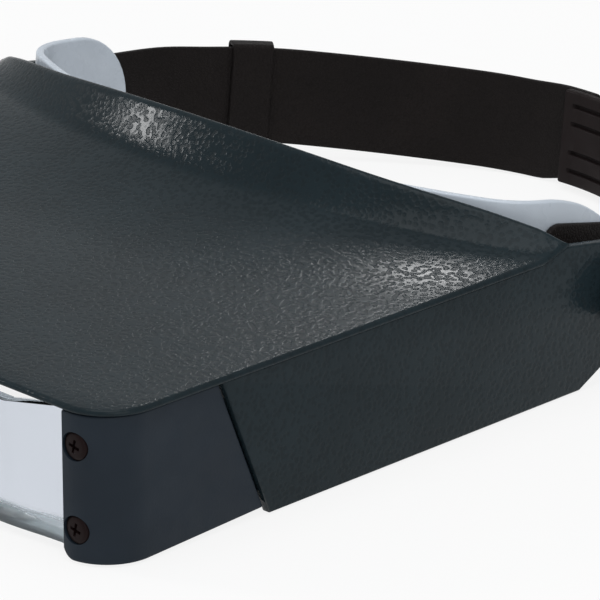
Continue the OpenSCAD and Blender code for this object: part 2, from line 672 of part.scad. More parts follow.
module knob_profile() polygon([
  [insert_r + insert_fit, 0], [knob_r - knob_crown, 0], [knob_r, knob_crown],
  [knob_r, knob_l - knob_crown - knob_edge], [knob_r - knob_edge, knob_l - knob_crown],
  [knob_r - 3 * knob_edge, knob_l], [0, knob_l],
  [0, insert_l + 0.1], [insert_r + insert_fit, insert_l + 0.1]]);
module knob() color([0.1, 0.1, 0.11]) difference() {
  translate([knob_x, pivot_y, pivot_h]) rotate([0, 90, 0]) rotate_extrude($fn = 96) knob_profile();
  for (i = [0:flute_n - 1]) translate([knob_x + 1.2, pivot_y, pivot_h]) rotate([i * 360 / flute_n, 0, 0])
    translate([0, 0, knob_r + 0.3]) rotate([0, 90, 0]) cylinder(h = knob_l, r = flute_r, $fn = 24);
}
module knob_insert() color([0.8, 0.66, 0.35]) difference() {
  pivot_bar(knob_x, knob_x + insert_l, insert_r);
  pivot_bar(knob_x - 1, knob_x + insert_l + 1, bolt_r + run_gap);
}
module knob_left() knob();
module knob_right() mirror([1, 0, 0]) knob();
module knob_insert_left() knob_insert();
module knob_insert_right() mirror([1, 0, 0]) knob_insert();

visor_shell();
carrier_springs();
lens_carrier();
lens_plate();
lens_screws();
lens_clamp_strips();
forehead_band();
brow_pad();
strap_left();
strap_right();
strap_rivets();
strap_keeper();
adjuster_housing();
adjuster_rivets();
nape_pad();
pivot_bolts();
friction_washers();
spring_washers();
knob_left();
knob_right();
knob_insert_left();
knob_insert_right();
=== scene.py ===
"""Binocular head loupe: the visible pieces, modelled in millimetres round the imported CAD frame."""

import json
import math

import bmesh
import bpy
import numpy as np
from mathutils import Matrix, Vector

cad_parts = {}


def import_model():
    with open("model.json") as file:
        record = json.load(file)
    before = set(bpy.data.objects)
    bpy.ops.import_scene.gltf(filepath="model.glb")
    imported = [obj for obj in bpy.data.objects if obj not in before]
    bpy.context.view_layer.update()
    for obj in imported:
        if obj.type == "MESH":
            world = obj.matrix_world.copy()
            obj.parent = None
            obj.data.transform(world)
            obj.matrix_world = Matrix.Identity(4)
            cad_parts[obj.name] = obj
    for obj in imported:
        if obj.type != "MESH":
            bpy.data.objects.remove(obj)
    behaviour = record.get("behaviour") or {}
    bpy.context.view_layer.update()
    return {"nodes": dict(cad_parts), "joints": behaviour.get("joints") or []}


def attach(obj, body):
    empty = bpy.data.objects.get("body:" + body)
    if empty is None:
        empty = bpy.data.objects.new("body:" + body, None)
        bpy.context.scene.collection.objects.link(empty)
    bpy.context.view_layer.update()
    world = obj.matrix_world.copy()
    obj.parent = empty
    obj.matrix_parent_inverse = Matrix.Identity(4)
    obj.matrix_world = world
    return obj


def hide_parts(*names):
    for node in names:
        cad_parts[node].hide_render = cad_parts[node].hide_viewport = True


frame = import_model()
SCENE = bpy.context.scene
MM = 0.001

# Sizes of the CAD model, in millimetres
JOINTS = {j["name"]: j for j in frame["joints"]}
PIVOT = tuple(c / MM for c in JOINTS["visor_tilt"]["pos_m"][1:])
PIVOT_Y, PIVOT_H = PIVOT
WALL_X, WALL_IN, LIP_X = 94.6, 92.0, 95.0
FRONT_Y = PIVOT_Y - 162.6
CORNER_Y = PIVOT_Y - 21
FRONT_H = 35.2
CORNER_H, BROW_H = 37.4, 51.4
CREASE_SIDE_H, CREASE_MID_H = FRONT_H, 40.7
BROW_DEPTH, FLANGE_RUN, SWEEP_RUN = 26.0, 8.0, 42.0
CORNER_R = 12.6
EDGE_R = (LIP_X**2 + BROW_DEPTH**2) / (2 * BROW_DEPTH)
EDGE_CY = CORNER_Y - BROW_DEPTH + EDGE_R
PANEL_T = 2.2
CREASE_SOFT = 1.3
EAR_R, BOSS_R = 11.5, 8.0
PARTING_Y = CORNER_Y - 94
PARTING_LEAN = 14.4
PARTING_GAP = 0.6
CARRIER_X = WALL_X - 0.8
CARRIER_Y = FRONT_Y + 0.4
CARRIER_R = 11.8
POST_T, ARM_T = 2.8, 2.6
ARM_L = 29
CARRIER_TOP = FRONT_H - 2.4 - 0.3
WINDOW_X = 80.8
LENS_Y, LENS_T = CARRIER_Y + POST_T, 3
TONGUE_T = 2.6
TONGUE_X = WALL_IN - 0.4 - TONGUE_T
SCREW_X = WINDOW_X + 3.5
SCREW_SPOTS = [(side * SCREW_X, z) for side in (-1, 1) for z in (7.3, 26.1)]
HEAD_R, HEAD_H = 3.1, 1.5
STRAP_W, STRAP_T = 24.0, 1.6
STRAP_MID = 1.9
STRAP_LOW, STRAP_HIGH = STRAP_MID - STRAP_W / 2, STRAP_MID + STRAP_W / 2
NAPE_LOW = STRAP_LOW - 0.3
BAND_X, BAND_T = 84.0, 2.0
BAND_LOW, BAND_TOP = -4.5, 20.0
PLATE_R = 17.0
BROW_R, BROW_REACH, BROW_BEND = 160.0, 48.5, 18.0
STRAP_X = BAND_X + STRAP_T
END_R = 5.0
RIVET_SPOTS = ((-12, 4), (-12, -6))
BOLT_R = 3.0
KNOB_X = WALL_X + 1.1 + 0.3
KNOB_R, KNOB_L = 8.5, 8.6
FLUTES = 12
RING_TILT = 6.2
RING = Matrix.Translation((0, *PIVOT)) @ Matrix.Rotation(math.radians(-RING_TILT), 4, "X")


# Meshes


def sin(a):
    return math.sin(math.radians(a))


def cos(a):
    return math.cos(math.radians(a))


def smoothstep(x, lo, hi):
    t = min(1, max(0, (x - lo) / (hi - lo)))
    return t * t * (3 - 2 * t)


def grid_faces(rows, cols, closed=False):
    """Quads of a grid of points stored row by row; closed joins each row's ends."""
    last = cols if closed else cols - 1
    return [
        (i * cols + j, i * cols + (j + 1) % cols, (i + 1) * cols + (j + 1) % cols, (i + 1) * cols + j)
        for i in range(rows - 1)
        for j in range(last)
    ]


def loft(rings):
    """A closed solid through rings of points, with flat ends."""
    n = len(rings[0])
    points = [p for ring in rings for p in ring]
    faces = grid_faces(len(rings), n, closed=True)
    faces.append(tuple(range(n)))
    faces.append(tuple(range((len(rings) - 1) * n, len(rings) * n)))
    return points, faces


def both_sides(part):
    points, faces = part
    return [part, ([(-x, y, z) for x, y, z in points], faces)]


def moved(part, matrix):
    return [tuple(matrix @ Vector(p)) for p in part[0]], part[1]


def joined(name, parts, weld=True):
    """An object from (points, faces) parts in millimetres; weld joins the points that meet."""
    points, faces = [], []
    for part_points, part_faces in parts:
        start = len(points)
        points += [Vector(p) * MM for p in part_points]
        faces += [tuple(i + start for i in f) for f in part_faces]
    mesh = bpy.data.meshes.new(name)
    mesh.from_pydata(points, [], faces)
    bm = bmesh.new()
    bm.from_mesh(mesh)
    if weld:
        bmesh.ops.remove_doubles(bm, verts=bm.verts, dist=2e-6)
    bmesh.ops.recalc_face_normals(bm, faces=bm.faces)
    bm.to_mesh(mesh)
    bm.free()
    piece = bpy.data.objects.new(name, mesh)
    SCENE.collection.objects.link(piece)
    return piece


def smooth(piece, sharp):
    """Smooth shading, with the edges that turn by more than sharp degrees kept sharp."""
    piece.data.shade_smooth()
    piece.data.set_sharp_from_angle(angle=math.radians(sharp))


def build(name, parts, material, body, slot, replaces, sharp=35):
    """One piece of the object from (points, faces) parts given in millimetres."""
    piece = joined(name, parts)
    smooth(piece, sharp)
    piece.data.materials.append(material)
    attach(piece, body)
    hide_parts(*replaces)
    return piece


def cut(piece, parts, sharp):
    """Takes closed parts away from a piece for good."""
    cutter = joined("cutter", parts, weld=False)
    boolean = piece.modifiers.new("Cut", "BOOLEAN")
    boolean.operation = "DIFFERENCE"
    boolean.solver = "EXACT"
    boolean.use_self = True
    boolean.object = cutter
    bpy.context.view_layer.update()
    done = bpy.data.meshes.new_from_object(piece.evaluated_get(bpy.context.evaluated_depsgraph_get()))
    piece.modifiers.remove(boolean)
    piece.data = done
    bpy.data.objects.remove(cutter)
    smooth(piece, sharp)


def section(a0, a1, b0, b1, r, corner=5, fill=1):
    """Rounded rectangle in a and b; fill is the number of steps on its long sides."""
    r = max(0.02, min(r, 0.49 * (a1 - a0), 0.49 * (b1 - b0)))
    points = []
    corners = ((a1 - r, b0 + r, -90), (a1 - r, b1 - r, 0), (a0 + r, b1 - r, 90), (a0 + r, b0 + r, 180))
    for k, (ca, cb, start) in enumerate(corners):
        turns = [start + 90 * i / corner for i in range(corner + 1)]
        arc = [(ca + r * cos(t), cb + r * sin(t)) for t in turns]
        points += arc
        if k in (0, 2) and fill > 1:
            a, b = arc[-1]
            nb = b1 - r if k == 0 else b0 + r
            points += [(a, b + (nb - b) * i / fill) for i in range(1, fill)]
    return points


class Path:
    """A smooth line in plan with its outward normals, measured by its length."""

    def __init__(self, points, outward=1):
        self.points = np.array(points, float)
        steps = np.linalg.norm(np.diff(self.points, axis=0), axis=1)
        self.along = np.concatenate([[0], np.cumsum(steps)])
        tangents = np.gradient(self.points, self.along, axis=0)
        normals = np.stack([tangents[:, 1], -tangents[:, 0]], axis=1) * outward
        self.normals = normals / np.linalg.norm(normals, axis=1)[:, None]
        self.length = float(self.along[-1])

    def at(self, s, offset, z):
        point, normal = (
            [np.interp(s, self.along, rows[:, k]) for k in (0, 1)] for rows in (self.points, self.normals)
        )
        x, y = (p + offset * n for p, n in zip(point, normal))
        return (float(x), float(y), float(z))


def stations(s0, s1, step, r0, r1):
    """Positions along a strip with the inset of its section, for ends rounded by r0 and r1."""
    turns = (0, 22.5, 45, 67.5, 90)
    found = [(s0 + r0 * (1 - cos(t)), r0 * (1 - sin(t))) for t in turns] if r0 else [(s0, 0)]
    stop = s1 - r1
    n = max(1, math.ceil((stop - found[-1][0]) / step))
    start = found[-1][0]
    found += [(start + (stop - start) * i / n, 0) for i in range(1, n)]
    found += [(s1 - r1 * (1 - cos(t)), r1 * (1 - sin(t))) for t in reversed(turns)] if r1 else [(s1, 0)]
    return found


def strip(path, where, inner, outer, low, high, r, fill=1):
    """A solid along a path; inner, outer, low and high are functions of the position."""
    rings = []
    for s, inset in where:
        ring = section(inner(s) + inset, outer(s) - inset, low(s) + inset, high(s) - inset, r - inset, fill=fill)
        rings.append([path.at(s, a, b) for a, b in ring])
    return loft(rings)


def fixed(value):
    return lambda s: value


def lathe(profile, side=1, steps=64, centre=(0, 0), wave=None):
    """A solid of (x, radius) points turned about the line along X through centre; wave scales the radius."""
    rings = []
    for x, r in profile:
        ring = []
        for i in range(steps):
            a = 360 * i / steps
            rr = r * (wave(x, r, a) if wave else 1)
            ring.append((side * x, centre[0] + rr * cos(a), centre[1] + rr * sin(a)))
        rings.append(ring)
    return loft(rings)


def tube(profile, steps=64):
    """A ring round the tilt axis with a closed profile of (x, radius) points."""
    points = [
        (x, PIVOT_Y + r * cos(360 * i / steps), PIVOT_H + r * sin(360 * i / steps))
        for x, r in [*profile, profile[0]]
        for i in range(steps)
    ]
    return points, grid_faces(len(profile) + 1, steps, closed=True)


def box(x0, x1, y0, y1, z0, z1):
    ring = [(y0, z0), (y1, z0), (y1, z1), (y0, z1)]
    return loft([[(x, y, z) for y, z in ring] for x in (x0, x1)])


# Materials


class Shader:
    """A node material that is built one node at a time."""

    def __init__(self, name):
        self.material = bpy.data.materials.new(name)
        self.material.use_nodes = True
        self.tree = self.material.node_tree
        self.tree.nodes.clear()

    def node(self, kind, settings=None, **inputs):
        made = self.tree.nodes.new("ShaderNode" + kind)
        for key, value in (settings or {}).items():
            setattr(made, key, value)
        for key, value in inputs.items():
            self.feed(made.inputs[key.replace("_", " ")], value)
        return made

    def feed(self, socket, value):
        if isinstance(value, bpy.types.NodeSocket):
            self.tree.links.new(value, socket)
        else:
            socket.default_value = value

    def math(self, operation, *values):
        made = self.tree.nodes.new("ShaderNodeMath")
        made.operation = operation
        for socket, value in zip(made.inputs, values):
            self.feed(socket, value)
        return made.outputs[0]

    def mix(self, factor, a, b):
        made = self.tree.nodes.new("ShaderNodeMix")
        made.data_type = "RGBA"
        for index, value in ((0, factor), (6, a), (7, b)):
            self.feed(made.inputs[index], value)
        return made.outputs[2]

    def spread(self, value, lo, hi, to_lo, to_hi):
        made = self.node("MapRange", {"interpolation_type": "SMOOTHSTEP"}, Value=value)
        for key, number in (("From Min", lo), ("From Max", hi), ("To Min", to_lo), ("To Max", to_hi)):
            made.inputs[key].default_value = number
        return made.outputs[0]

    def place(self):
        return self.node("TexCoord").outputs["Object"]

    def noise(self, scale, detail=2.0, roughness=0.5, vector=None):
        made = self.node("TexNoise", Scale=scale, Detail=detail, Roughness=roughness)
        self.feed(made.inputs["Vector"], vector or self.place())
        return made

    def warped(self, scale, amount):
        """Object coordinates pushed about by noise of that scale, by amount in metres."""
        push = self.node("VectorMath", {"operation": "SCALE"})
        self.feed(push.inputs[0], self.noise(scale).outputs["Color"])
        push.inputs["Scale"].default_value = amount
        total = self.node("VectorMath", {"operation": "ADD"})
        self.feed(total.inputs[0], self.place())
        self.feed(total.inputs[1], push.outputs[0])
        return total.outputs[0]

    def cells(self, scale, vector, feature="F1"):
        return self.node("TexVoronoi", {"feature": feature}, Vector=vector, Scale=scale).outputs["Distance"]

    def bump(self, height, depth):
        return self.node("Bump", Height=height, Distance=depth).outputs[0]

    def surface(self, **inputs):
        shader = self.node("BsdfPrincipled", **inputs)
        out = self.node("OutputMaterial", Surface=shader.outputs[0])
        out.is_active_output = True
        return self.material


def rgb(r, g, b):
    return (r, g, b, 1)


def scaled(colour, factor):
    return (*(min(1, c * factor) for c in colour[:3]), 1)


def pitted_plastic(name, colour, cell, depth, roughness, specular):
    """Moulded plastic with a smooth net of ridges round small pits, the pits painted darker as painted shade; cell
    is their size in millimetres.
    """
    s = Shader(name)
    scale = 1 / (cell * MM)
    where = s.warped(scale * 0.7, 0.55 * cell * MM)
    net = s.spread(s.cells(scale, where), 0.3, 0.64, 0, 1)
    fine = s.noise(scale * 4, 3.0).outputs["Fac"]
    height = s.math("MULTIPLY_ADD", fine, 0.06, net)
    drift = s.noise(38, 3.0, 0.6).outputs["Fac"]
    tint = s.mix(s.spread(drift, 0.3, 0.7, 0, 1), scaled(colour, 0.9), scaled(colour, 1.12))
    # Painted shade: the pits are painted darker, standing in for the shade that falls in them.
    tint = s.mix(s.spread(net, 0, 0.6, 0.4, 0), tint, scaled(colour, 0.55))
    rough = s.spread(net, 0.45, 1, roughness + 0.13, roughness)
    return s.surface(
        Base_Color=tint, Roughness=rough, Specular_IOR_Level=specular, Normal=s.bump(height, depth * MM)
    )


def moulded_plastic(name, colour, roughness=0.4, specular=0.5, grain=0.03, grain_scale=2600, variation=0.08):
    """Plain moulded plastic: faint cloudiness, fine eroded grain, slightly uneven gloss."""
    s = Shader(name)
    drift = s.noise(60, 3.0).outputs["Fac"]
    tint = s.mix(s.spread(drift, 0.3, 0.7, 0, 1), scaled(colour, 1 - variation), scaled(colour, 1 + variation))
    fine = s.noise(grain_scale, 3.0, 0.6).outputs["Fac"]
    rough = s.spread(s.noise(220, 2.0).outputs["Fac"], 0.3, 0.7, roughness - 0.05, roughness + 0.06)
    return s.surface(
        Base_Color=tint, Roughness=rough, Specular_IOR_Level=specular, Normal=s.bump(fine, grain * MM)
    )


def leather(name, colour, roughness, cell, depth):
    """Leatherette: small flat pebbles parted by creases that are painted darker as painted shade, with faint colour
    drift.
    """
    s = Shader(name)
    scale = 1 / (cell * MM)
    where = s.warped(scale * 0.5, 0.4 * cell * MM)
    crease = s.cells(scale, where, "DISTANCE_TO_EDGE")
    pebble = s.spread(crease, 0, 0.22, 0, 1)
    height = s.math("MULTIPLY_ADD", s.noise(scale * 3, 2.0).outputs["Fac"], 0.3, pebble)
    drift = s.noise(45, 4.0, 0.6).outputs["Fac"]
    tint = s.mix(s.spread(drift, 0.3, 0.7, 0, 1), scaled(colour, 0.82), scaled(colour, 1.2))
    # Painted shade: the creases are painted darker, standing in for the shade that falls in them.
    tint = s.mix(s.spread(crease, 0, 0.12, 0.55, 0), tint, scaled(colour, 0.45))
    rough = s.spread(pebble, 0, 1, roughness + 0.15, roughness)
    return s.surface(
        Base_Color=tint, Roughness=rough, Specular_IOR_Level=0.14, Sheen_Weight=0.02,
        Sheen_Roughness=0.5, Normal=s.bump(height, depth * MM)
    )


def metal(name, colour, roughness, brushing=(1, 1, 1)):
    """Metal with fine marks drawn out along an axis, and slight stains."""
    s = Shader(name)
    stretch = s.node("VectorMath", {"operation": "MULTIPLY"})
    s.feed(stretch.inputs[0], s.place())
    stretch.inputs[1].default_value = brushing
    marks = s.noise(1400, 3.0, 0.7, stretch.outputs[0]).outputs["Fac"]
    stain = s.noise(150, 3.0).outputs["Fac"]
    tint = s.mix(s.spread(stain, 0.3, 0.7, 0, 1), scaled(colour, 0.88), scaled(colour, 1.04))
    rough = s.spread(marks, 0.3, 0.7, roughness - 0.06, roughness + 0.1)
    return s.surface(Base_Color=tint, Metallic=1.0, Roughness=rough, Normal=s.bump(marks, 0.01 * MM))


def clear_acrylic(name, bead_top):
    """Slightly grey clear plastic, with a duller bead below the height bead_top in millimetres, its colour painted
    darker as painted shade.
    """
    s = Shader(name)
    drift = s.noise(25, 2.0).outputs["Fac"]
    tint = s.mix(s.spread(drift, 0.3, 0.7, 0, 1), rgb(0.68, 0.725, 0.8), rgb(0.7, 0.745, 0.82))
    height = s.node("SeparateXYZ", Vector=s.place()).outputs["Z"]
    bead = s.spread(height, (bead_top - 0.4) * MM, (bead_top + 0.5) * MM, 1, 0)
    # Painted shade: the bead's colour is painted darker, standing in for its lower face seen through the plate; its
    # roughness is raised as well.
    tint = s.mix(bead, tint, rgb(0.4, 0.47, 0.51))
    haze = s.spread(s.noise(180, 2.0).outputs["Fac"], 0.35, 0.7, 0.0, 0.02)
    rough = s.math("MULTIPLY_ADD", bead, 0.42, haze)
    return s.surface(Base_Color=tint, Roughness=rough, IOR=1.49, Transmission_Weight=1.0)


VISOR = pitted_plastic("Visor plastic", rgb(0.0125, 0.021, 0.0255), 1.3, 0.028, 0.165, 0.11)
CARRIER = moulded_plastic("Carrier plastic", rgb(0.014, 0.021, 0.03), 0.45, 0.14, 0.03, 1500)
ACRYLIC = clear_acrylic("Clear acrylic", 5.0)
SCREW = moulded_plastic("Blackened screw", rgb(0.011, 0.006, 0.006), 0.4, 0.06, 0.01, 3000)
CLAMP = moulded_plastic("Clamp plastic", rgb(0.012, 0.014, 0.016), 0.5)
SPRING = metal("Spring steel", rgb(0.5, 0.51, 0.53), 0.3, (1, 0.08, 1))
BAND = moulded_plastic("Band plastic", rgb(0.56, 0.62, 0.69), 0.28, 0.4, 0.012, 900, 0.03)
PAD = leather("Pad leatherette", rgb(0.013, 0.009, 0.009), 0.48, 1.1, 0.09)
STRAP = leather("Strap leatherette", rgb(0.0085, 0.0062, 0.0058), 0.55, 0.8, 0.06)
RIVET = metal("Rivet steel", rgb(0.55, 0.55, 0.56), 0.3)
RUBBER = moulded_plastic("Nape rubber", rgb(0.013, 0.009, 0.009), 0.6, 0.12, 0.03, 1200)
HOUSING = moulded_plastic("Housing plastic", rgb(0.012, 0.01, 0.01), 0.45, 0.2, 0.04, 1400)
BOLT = metal("Bolt steel", rgb(0.6, 0.61, 0.63), 0.25)
NYLON = moulded_plastic("Washer nylon", rgb(0.62, 0.6, 0.53), 0.45, 0.4, 0.02, 1500, 0.04)
KNOB = moulded_plastic("Knob plastic", rgb(0.009, 0.009, 0.0095), 0.42, 0.5, 0.04, 1600)
BRASS = metal("Insert brass", rgb(0.62, 0.42, 0.15), 0.3, (0.1, 1, 1))


# Visor: the top panel's upper face


def edge_y(x, inset=0.0):
    """The panel's rear edge, an arc round the brow."""
    r = EDGE_R + inset
    return EDGE_CY - math.sqrt(r * r - x * x)


def sharp_h(x, y):
    """Height of the upper face: flat, swept up to the crease, and steeper over the brow flange."""
    edge = edge_y(x)
    crease = edge - FLANGE_RUN
    inward = (CORNER_Y - edge) / BROW_DEPTH
    crease_h = CREASE_SIDE_H + (CREASE_MID_H - CREASE_SIDE_H) * inward
    if y > crease:
        rise = smoothstep(inward, 0, 0.15) * (1 - smoothstep(inward, 0.25, 0.8))
        edge_h = CORNER_H + (BROW_H - CORNER_H) * inward + rise
        return crease_h + (edge_h - crease_h) * ((y - crease) / FLANGE_RUN) ** 1.25
    s = max(0, (y - crease + SWEEP_RUN) / SWEEP_RUN)
    return FRONT_H + (crease_h - FRONT_H) * s * s


def panel_h(x, y):
    """Height of the upper face, with its crease rounded."""
    x = max(-LIP_X, min(LIP_X, x))
    return sum(sharp_h(x, y + CREASE_SOFT * k / 3) for k in range(-3, 4)) / 7


def panel_normal(x, y):
    d = 0.2
    slope_x = (panel_h(x - d, y) - panel_h(x + d, y)) / (2 * d)
    slope_y = (panel_h(x, y - d) - panel_h(x, y + d)) / (2 * d)
    return Vector((slope_x, slope_y, 1)).normalized()


def panel_grid(inset):
    """Columns of plan points over the panel, drawn in from its outline by inset."""
    half, r = LIP_X - inset, CORNER_R - inset
    flat = half - r
    turns = [90 * i / 12 for i in range(13)]
    xs = [-flat - r * sin(t) for t in reversed(turns)] + [-flat + 2 * flat * i / 60 for i in range(1, 60)]
    xs += [flat + r * sin(t) for t in turns]
    fronts = [r * (1 - cos(t)) for t in reversed(turns)] + [0] * 59 + [r * (1 - cos(t)) for t in turns]
    columns = []
    for x, front in zip(xs, fronts):
        y0, y3 = FRONT_Y + inset + front, edge_y(x, inset)
        crease = edge_y(x) - FLANGE_RUN
        y1, soft = crease - SWEEP_RUN, 2 * CREASE_SOFT
        column = [y0 + (y1 - y0) * i / 12 for i in range(12)]
        column += [y1 + (crease - soft - y1) * i / 16 for i in range(16)]
        column += [crease - soft + 2 * soft * i / 10 for i in range(10)]
        column += [crease + soft + (y3 - crease - soft) * i / 5 for i in range(6)]
        columns.append([(x, y) for y in column])
    return columns


def rim(columns):
    """The outline of a grid of columns, once round."""
    front = [c[0] for c in columns]
    back = [c[-1] for c in columns]
    return front + columns[-1][1:-1] + back[::-1] + columns[0][-2:0:-1]


def under(point, depth):
    x, y = point
    return Vector((x, y, panel_h(x, y))) - panel_normal(x, y) * depth


def top_panel():
    """A sheet with a thin rounded lip all round, drawn in below it, and further in over the lens."""
    edge_r, lip_h, recess, over_lens = 1.0, 1.3, 2.1, 1.4

    def drawn_in(columns):
        for column in columns:
            x, y = column[0]
            column[0] = (x, y + over_lens * (1 - smoothstep(abs(x), WINDOW_X - 3.5, WINDOW_X - 0.5)))
        return columns

    upper = panel_grid(edge_r)
    lower = drawn_in(panel_grid(recess))
    cols, rows = len(upper), len(upper[0])
    parts = [([under(p, 0) for c in upper for p in c], grid_faces(cols, rows))]
    parts.append(([under(p, PANEL_T) for c in lower for p in c], grid_faces(cols, rows)))
    rings = [(edge_r * (1 - sin(t)), edge_r * (1 - cos(t))) for t in (0, 15, 30, 45, 60, 75, 90)]
    rings += [(0.08, lip_h - 0.06), (0.22, lip_h)]
    bands = [[under(p, depth) for p in rim(panel_grid(inset))] for inset, depth in rings]
    for depth in (lip_h, PANEL_T):
        bands.append([under(p, depth) for p in rim(lower)])
    n = len(bands[0])
    parts.append(([p for band in bands for p in band], grid_faces(len(bands), n, closed=True)))
    return parts


def wall_outline():
    """Outline of the side wall with its ear, in y and z."""
    cover, step = 1.2, 1.5
    top_h = CORNER_H - cover - 0.3
    top_reach = PIVOT_Y - CORNER_Y - step
    slope = math.asin(EAR_R / math.hypot(top_reach, top_h - PIVOT_H)) - math.atan2(top_h - PIVOT_H, top_reach)
    start = PARTING_Y - PARTING_LEAN * (FRONT_H - cover) / FRONT_H
    end = CORNER_Y - FLANGE_RUN
    ear_rim = CORNER_Y + 5
    reach = math.hypot(PIVOT_Y - ear_rim, PIVOT_H)
    angle = math.degrees(math.atan2(PIVOT_H, PIVOT_Y - ear_rim) - math.asin(EAR_R / reach))
    points = [(PARTING_Y, 0)]
    top = [start + (end - start) * i / 40 for i in range(41)]
    points += [(y, panel_h(WALL_X, y) - cover) for y in top]
    points += [(CORNER_Y - 0.5, CORNER_H - cover)]
    points += [(CORNER_Y + step, top_h)]
    turns = np.linspace(90 + math.degrees(slope), angle - 90, 40)
    points += [(PIVOT_Y + EAR_R * cos(a), PIVOT_H + EAR_R * sin(a)) for a in turns]
    points += [(ear_rim, 0)]
    return points


def plate(outline, x0, x1, r):
    """An upright plate with that outline in y and z, its edges rounded by r."""
    pts = np.array(outline, float)
    before, after = np.roll(pts, 1, axis=0), np.roll(pts, -1, axis=0)
    d0, d1 = pts - before, after - pts
    n0 = np.stack([d0[:, 1], -d0[:, 0]], 1) / np.linalg.norm(d0, axis=1)[:, None]
    n1 = np.stack([d1[:, 1], -d1[:, 0]], 1) / np.linalg.norm(d1, axis=1)[:, None]
    area = np.sum(pts[:, 0] * after[:, 1] - after[:, 0] * pts[:, 1])
    n = (n0 + n1) * (1 if area > 0 else -1)
    n = n / np.maximum(0.35, np.sum(n * n, axis=1) / 2)[:, None]
    rings = []
    for x, side, turns in ((x0, 1, (0, 30, 60, 90)), (x1, -1, (90, 60, 30, 0))):
        for t in turns:
            inset = r * (1 - sin(t))
            xx = x + side * r * (1 - cos(t))
            rings.append([(xx, *(p - v * inset)) for p, v in zip(pts, n)])
    return loft(rings)


def visor_parts():
    """Top panel, side walls, pivot bosses, and the rails and spring seats for the lens unit's tongues."""
    wall = plate(wall_outline(), WALL_IN, WALL_X, 0.5)
    boss = [(87.5, 2.9), (87.5, BOSS_R - 0.4), (87.9, BOSS_R), (91.4, BOSS_R), (92.4, BOSS_R + 0.6)]
    parts = top_panel() + both_sides(wall) + both_sides(lathe(boss, centre=PIVOT))
    rail_end = PARTING_Y + 49
    for z in (1.4, 26.4):
        parts += both_sides(box(WALL_IN - 3.6, WALL_IN + 0.1, PARTING_Y + 1, rail_end, z, z + 2.2))
    spring_end = PARTING_Y + 50.4
    parts += both_sides(box(TONGUE_X - 0.3, WALL_IN + 0.1, spring_end - 5, spring_end, 10, 20))
    return parts


build("visor_body", visor_parts(), VISOR, "visor", "visor_plastic", ("visor_shell",), sharp=50)


# Lens carrier


def parting_at(z):
    return PARTING_Y - PARTING_LEAN * z / FRONT_H


def carrier_side():
    """Post, round corner and side arm as one strip, leaning back to the parting line.

    The outer rim_t of its top edge stands rim_h higher; rim_at is the last of a section's points on the rim.
    """
    rim_t, rim_h, rim_at = 0.7, 1.0, 17
    flat = CARRIER_X - CARRIER_R
    corner = [(flat + CARRIER_R * sin(t), CARRIER_Y + CARRIER_R * (1 - cos(t))) for t in range(0, 91, 3)]
    arm_y = CARRIER_Y + CARRIER_R
    line = [(WINDOW_X + (flat - WINDOW_X) * i / 4, CARRIER_Y) for i in range(4)] + corner
    line += [(CARRIER_X, arm_y + i) for i in range(1, ARM_L + 1)]
    path = Path(line)
    arm_s = float(np.interp(arm_y, path.points[:, 1][5:], path.along[5:]))
    foot_r, lift, rise = 3.0, 0.1, 1.4
    rings = []
    where = stations(0, path.length, 0.9, 0.45, 0.5)
    near = [(foot_r * (1 - cos(t)), 0) for t in range(20, 91, 7)]
    where = sorted({(round(s, 4), round(i, 4)) for s, i in where + near})
    for s, inset in where:
        u = max(0, (s - arm_s) / (path.length - arm_s))
        low = lift + (foot_r - math.sqrt(foot_r**2 - max(0, foot_r - s) ** 2)) + rise * u
        deep = POST_T + (ARM_T - POST_T) * smoothstep(s, 4, 16)
        ring = []
        outline = section(-deep + inset, -inset, low + inset, CARRIER_TOP + rim_h - inset, 0.5 - inset, fill=6)
        inner = [(a, min(b, CARRIER_TOP - inset)) for a, b in outline[rim_at:]]
        step = [(-rim_t, CARRIER_TOP + rim_h - inset), (-rim_t - 0.05, CARRIER_TOP - inset)]
        for a, b in outline[:rim_at] + step + inner:
            x, y, z = path.at(s, a, b)
            if u > 0:
                y = arm_y + (y - arm_y) * (parting_at(z) - PARTING_GAP - arm_y) / ARM_L
            ring.append((x, y, z))
        rings.append(ring)
    return loft(rings)


def along_y(part, x, y, z):
    """Turns a part made about the X axis so that it points along +Y from that point."""
    return moved(part, Matrix.Translation((x, y, z)) @ Matrix.Rotation(math.radians(90), 4, "Z"))


def carrier():
    """Both sides, the bar behind the lens and the guide tongues, with the screws' bores and the lens's pocket."""
    bar_y = LENS_Y + LENS_T + 2 + 0.3
    parts = both_sides(carrier_side())
    parts.append(box(1.3 - CARRIER_X, CARRIER_X - 1.3, bar_y, bar_y + 24, CARRIER_TOP - 2.2, CARRIER_TOP - 0.05))
    parts += both_sides(box(TONGUE_X, TONGUE_X + TONGUE_T, PARTING_Y - 24, PARTING_Y + 42, 4, 26))
    piece = build("carrier_frame", parts, CARRIER, "lens_unit", "carrier_plastic", ("lens_carrier",), sharp=40)
    bore = lathe([(-1, HEAD_R + 0.12), (HEAD_H + 0.2, HEAD_R + 0.12)], steps=48)
    bores = [along_y(bore, x, CARRIER_Y, z) for x, z in SCREW_SPOTS]
    pocket = box(-SCREW_X - 2.4, SCREW_X + 2.4, LENS_Y, LENS_Y + 5, 1.5, 80)
    cut(piece, [*bores, pocket], sharp=40)


carrier()


# Lens


